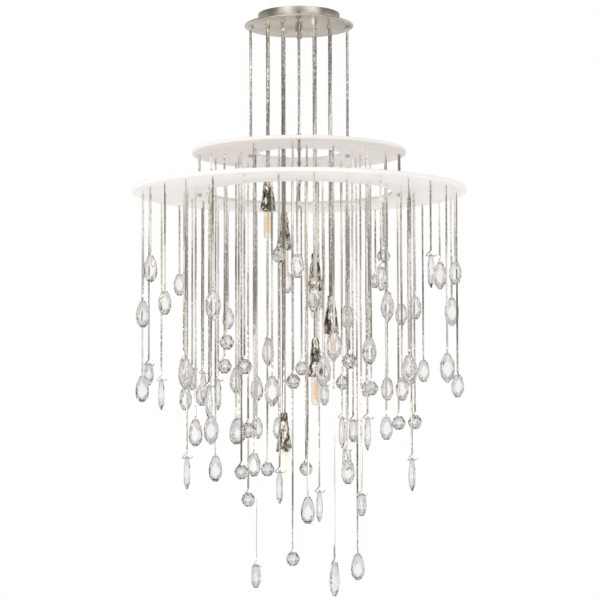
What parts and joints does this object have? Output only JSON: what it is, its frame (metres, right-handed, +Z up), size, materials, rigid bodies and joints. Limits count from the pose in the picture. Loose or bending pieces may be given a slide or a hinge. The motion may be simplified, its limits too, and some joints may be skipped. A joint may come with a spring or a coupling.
{
  "type": "crystal chandelier",
  "caption": "Two-tier hanging chandelier: flat rings on a canopy carry hammered rods with cut-crystal drops round a spiral of slim tube lamps in small metal cups.",
  "frame": {"origin": "on the ceiling plane, at the middle of the ceiling strap's two screw holes", "axes": "+Z up out of the ceiling face, along the chandelier's axis; -Y is the front; X runs across"},
  "size_m": [0.716, 0.716, 1.24],
  "materials": {
    "zinc_steel": "zinc-plated steel",
    "canopy_metal": "satin silver leaf",
    "silver_metal": "hammered silver leaf, lightly aged",
    "ring_white": "matte white, plaster-like paint",
    "crystal": "clear cut crystal, polished",
    "holder_ivory": "matte",
    "wire_clear": "gloss",
    "splice_ivory": "gloss",
    "bulb_glass": "clear glass, polished"
  },
  "bodies": {
    "chandelier_frame": {"ceiling_strap": "zinc_steel", "centre_nipple": "zinc_steel", "nipple_nuts": "zinc_steel", "canopy_collar": "canopy_metal", "canopy_plate": "canopy_metal", "collar_screws": "canopy_metal", "centre_knob": "canopy_metal", "ferrules": "silver_metal", "stem_nuts": "silver_metal", "upper_hang_rods": "silver_metal", "upper_hang_nuts": "silver_metal", "lower_hang_rods": "silver_metal", "lower_hang_nuts": "silver_metal", "lamp_stems": "silver_metal", "lamp_cups": "silver_metal", "lower_outer_rods": "silver_metal", "lower_inner_rods": "silver_metal", "upper_outer_rods": "silver_metal", "upper_inner_rods": "silver_metal", "upper_ring": "ring_white", "lower_ring": "ring_white", "lower_outer_crystals": "crystal", "lower_inner_crystals": "crystal", "lampholders": "holder_ivory", "lamp_wires": "wire_clear", "splice_caps": "splice_ivory"},
    "bulb_1": {"bulb_1": "bulb_glass"},
    "bulb_2": {"bulb_2": "bulb_glass"},
    "bulb_3": {"bulb_3": "bulb_glass"},
    "bulb_4": {"bulb_4": "bulb_glass"},
    "bulb_5": {"bulb_5": "bulb_glass"},
    "bulb_6": {"bulb_6": "bulb_glass"},
    "upper_outer_crystal_01": {"upper_outer_crystal_01": "crystal"},
    "upper_outer_crystal_02": {"upper_outer_crystal_02": "crystal"},
    "upper_outer_crystal_03": {"upper_outer_crystal_03": "crystal"},
    "upper_outer_crystal_04": {"upper_outer_crystal_04": "crystal"},
    "upper_outer_crystal_05": {"upper_outer_crystal_05": "crystal"},
    "upper_outer_crystal_06": {"upper_outer_crystal_06": "crystal"},
    "upper_outer_crystal_07": {"upper_outer_crystal_07": "crystal"},
    "upper_outer_crystal_08": {"upper_outer_crystal_08": "crystal"},
    "upper_outer_crystal_09": {"upper_outer_crystal_09": "crystal"},
    "upper_outer_crystal_10": {"upper_outer_crystal_10": "crystal"},
    "upper_outer_crystal_11": {"upper_outer_crystal_11": "crystal"},
    "upper_outer_crystal_12": {"upper_outer_crystal_12": "crystal"},
    "upper_outer_crystal_13": {"upper_outer_crystal_13": "crystal"},
    "upper_outer_crystal_14": {"upper_outer_crystal_14": "crystal"},
    "upper_inner_crystal_01": {"upper_inner_crystal_01": "crystal"},
    "upper_inner_crystal_02": {"upper_inner_crystal_02": "crystal"},
    "upper_inner_crystal_03": {"upper_inner_crystal_03": "crystal"},
    "upper_inner_crystal_04": {"upper_inner_crystal_04": "crystal"},
    "upper_inner_crystal_05": {"upper_inner_crystal_05": "crystal"},
    "upper_inner_crystal_06": {"upper_inner_crystal_06": "crystal"},
    "upper_inner_crystal_07": {"upper_inner_crystal_07": "crystal"},
    "upper_inner_crystal_08": {"upper_inner_crystal_08": "crystal"},
    "upper_inner_crystal_09": {"upper_inner_crystal_09": "crystal"},
    "upper_inner_crystal_10": {"upper_inner_crystal_10": "crystal"},
    "upper_inner_crystal_11": {"upper_inner_crystal_11": "crystal"},
    "upper_inner_crystal_12": {"upper_inner_crystal_12": "crystal"},
    "upper_inner_crystal_13": {"upper_inner_crystal_13": "crystal"},
    "upper_inner_crystal_14": {"upper_inner_crystal_14": "crystal"}
  },
  "joints": [
    {"name": "bulb_1_unscrew", "type": "slide", "parent": "chandelier_frame", "child": "bulb_1", "axis": [0, 0, -1], "range_m": [0, 0.02]},
    {"name": "bulb_2_unscrew", "type": "slide", "parent": "chandelier_frame", "child": "bulb_2", "axis": [0, 0, -1], "range_m": [0, 0.02]},
    {"name": "bulb_3_unscrew", "type": "slide", "parent": "chandelier_frame", "child": "bulb_3", "axis": [0, 0, -1], "range_m": [0, 0.02]},
    {"name": "bulb_4_unscrew", "type": "slide", "parent": "chandelier_frame", "child": "bulb_4", "axis": [0, 0, -1], "range_m": [0, 0.02]},
    {"name": "bulb_5_unscrew", "type": "slide", "parent": "chandelier_frame", "child": "bulb_5", "axis": [0, 0, -1], "range_m": [0, 0.02]},
    {"name": "bulb_6_unscrew", "type": "slide", "parent": "chandelier_frame", "child": "bulb_6", "axis": [0, 0, -1], "range_m": [0, 0.02]},
    {"name": "upper_outer_crystal_01_swing", "type": "hinge", "parent": "chandelier_frame", "child": "upper_outer_crystal_01", "pos_m": [-0.01325, -0.18949, -0.79], "axis": [0.7071, 0.7071, 0], "range_deg": [-20, 20]},
    {"name": "upper_outer_crystal_02_swing", "type": "hinge", "parent": "chandelier_frame", "child": "upper_outer_crystal_02", "pos_m": [0.07028, -0.17647, -0.7], "axis": [0, 1, 0], "range_deg": [-20, 20]},
    {"name": "upper_outer_crystal_03_swing", "type": "hinge", "parent": "chandelier_frame", "child": "upper_outer_crystal_03", "pos_m": [0.13989, -0.1285, -0.875], "axis": [1, 0, 0], "range_deg": [-20, 20]},
    {"name": "upper_outer_crystal_04_swing", "type": "hinge", "parent": "chandelier_frame", "child": "upper_outer_crystal_04", "pos_m": [0.18179, -0.05508, -0.875], "axis": [0, 1, 0], "range_deg": [-20, 20]},
    {"name": "upper_outer_crystal_05_swing", "type": "hinge", "parent": "chandelier_frame", "child": "upper_outer_crystal_05", "pos_m": [0.18769, 0.02925, -0.79], "axis": [0, 1, 0], "range_deg": [-20, 20]},
    {"name": "upper_outer_crystal_06_swing", "type": "hinge", "parent": "chandelier_frame", "child": "upper_outer_crystal_06", "pos_m": [0.15641, 0.10779, -0.795], "axis": [0.7071, 0.7071, 0], "range_deg": [-20, 20]},
    {"name": "upper_outer_crystal_07_swing", "type": "hinge", "parent": "chandelier_frame", "child": "upper_outer_crystal_07", "pos_m": [0.09415, 0.16498, -0.78], "axis": [0.7071, 0.7071, 0], "range_deg": [-20, 20]},
    {"name": "upper_outer_crystal_08_swing", "type": "hinge", "parent": "chandelier_frame", "child": "upper_outer_crystal_08", "pos_m": [0.01325, 0.18949, -0.97], "axis": [0.7071, 0.7071, 0], "range_deg": [-20, 20]},
    {"name": "upper_outer_crystal_09_swing", "type": "hinge", "parent": "chandelier_frame", "child": "upper_outer_crystal_09", "pos_m": [-0.07028, 0.17647, -0.695], "axis": [0.5, 0.866, 0], "range_deg": [-20, 20]},
    {"name": "upper_outer_crystal_10_swing", "type": "hinge", "parent": "chandelier_frame", "child": "upper_outer_crystal_10", "pos_m": [-0.13989, 0.1285, -0.875], "axis": [0, 1, 0], "range_deg": [-20, 20]},
    {"name": "upper_outer_crystal_11_swing", "type": "hinge", "parent": "chandelier_frame", "child": "upper_outer_crystal_11", "pos_m": [-0.18179, 0.05508, -0.955], "axis": [0, 1, 0], "range_deg": [-20, 20]},
    {"name": "upper_outer_crystal_12_swing", "type": "hinge", "parent": "chandelier_frame", "child": "upper_outer_crystal_12", "pos_m": [-0.18769, -0.02925, -0.87], "axis": [0, 1, 0], "range_deg": [-20, 20]},
    {"name": "upper_outer_crystal_13_swing", "type": "hinge", "parent": "chandelier_frame", "child": "upper_outer_crystal_13", "pos_m": [-0.15641, -0.10779, -0.755], "axis": [0.7071, 0.7071, 0], "range_deg": [-20, 20]},
    {"name": "upper_outer_crystal_14_swing", "type": "hinge", "parent": "chandelier_frame", "child": "upper_outer_crystal_14", "pos_m": [-0.09415, -0.16498, -0.95], "axis": [0, 1, 0], "range_deg": [-20, 20]},
    {"name": "upper_inner_crystal_01_swing", "type": "hinge", "parent": "chandelier_frame", "child": "upper_inner_crystal_01", "pos_m": [0.01596, -0.13001, -1.04], "axis": [0, 1, 0], "range_deg": [-20, 20]},
    {"name": "upper_inner_crystal_02_swing", "type": "hinge", "parent": "chandelier_frame", "child": "upper_inner_crystal_02", "pos_m": [0.07079, -0.11021, -1.175], "axis": [0.5, 0.866, 0], "range_deg": [-20, 20]},
    {"name": "upper_inner_crystal_03_swing", "type": "hinge", "parent": "chandelier_frame", "child": "upper_inner_crystal_03", "pos_m": [0.1116, -0.06858, -0.88], "axis": [1, 0, 0], "range_deg": [-20, 20]},
    {"name": "upper_inner_crystal_04_swing", "type": "hinge", "parent": "chandelier_frame", "child": "upper_inner_crystal_04", "pos_m": [0.1303, -0.01337, -1.035], "axis": [1, 0, 0], "range_deg": [-20, 20]},
    {"name": "upper_inner_crystal_05_swing", "type": "hinge", "parent": "chandelier_frame", "child": "upper_inner_crystal_05", "pos_m": [0.1232, 0.04449, -1.165], "axis": [0, 1, 0], "range_deg": [-20, 20]},
    {"name": "upper_inner_crystal_06_swing", "type": "hinge", "parent": "chandelier_frame", "child": "upper_inner_crystal_06", "pos_m": [0.09169, 0.09354, -0.87], "axis": [1, 0, 0], "range_deg": [-20, 20]},
    {"name": "upper_inner_crystal_07_swing", "type": "hinge", "parent": "chandelier_frame", "child": "upper_inner_crystal_07", "pos_m": [0.04203, 0.12406, -1.03], "axis": [1, 0, 0], "range_deg": [-20, 20]},
    {"name": "upper_inner_crystal_08_swing", "type": "hinge", "parent": "chandelier_frame", "child": "upper_inner_crystal_08", "pos_m": [-0.01596, 0.13001, -1.165], "axis": [0.7071, 0.7071, 0], "range_deg": [-20, 20]},
    {"name": "upper_inner_crystal_09_swing", "type": "hinge", "parent": "chandelier_frame", "child": "upper_inner_crystal_09", "pos_m": [-0.07079, 0.11021, -0.97], "axis": [0.7071, 0.7071, 0], "range_deg": [-20, 20]},
    {"name": "upper_inner_crystal_10_swing", "type": "hinge", "parent": "chandelier_frame", "child": "upper_inner_crystal_10", "pos_m": [-0.1116, 0.06858, -1.035], "axis": [0.7071, 0.7071, 0], "range_deg": [-20, 20]},
    {"name": "upper_inner_crystal_11_swing", "type": "hinge", "parent": "chandelier_frame", "child": "upper_inner_crystal_11", "pos_m": [-0.1303, 0.01337, -0.875], "axis": [0, 1, 0], "range_deg": [-20, 20]},
    {"name": "upper_inner_crystal_12_swing", "type": "hinge", "parent": "chandelier_frame", "child": "upper_inner_crystal_12", "pos_m": [-0.1232, -0.04449, -0.975], "axis": [0.7071, 0.7071, 0], "range_deg": [-20, 20]},
    {"name": "upper_inner_crystal_13_swing", "type": "hinge", "parent": "chandelier_frame", "child": "upper_inner_crystal_13", "pos_m": [-0.09169, -0.09354, -1.18], "axis": [1, 0, 0], "range_deg": [-20, 20]},
    {"name": "upper_inner_crystal_14_swing", "type": "hinge", "parent": "chandelier_frame", "child": "upper_inner_crystal_14", "pos_m": [-0.04203, -0.12406, -0.985], "axis": [1, 0, 0], "range_deg": [-20, 20]}
  ]
}
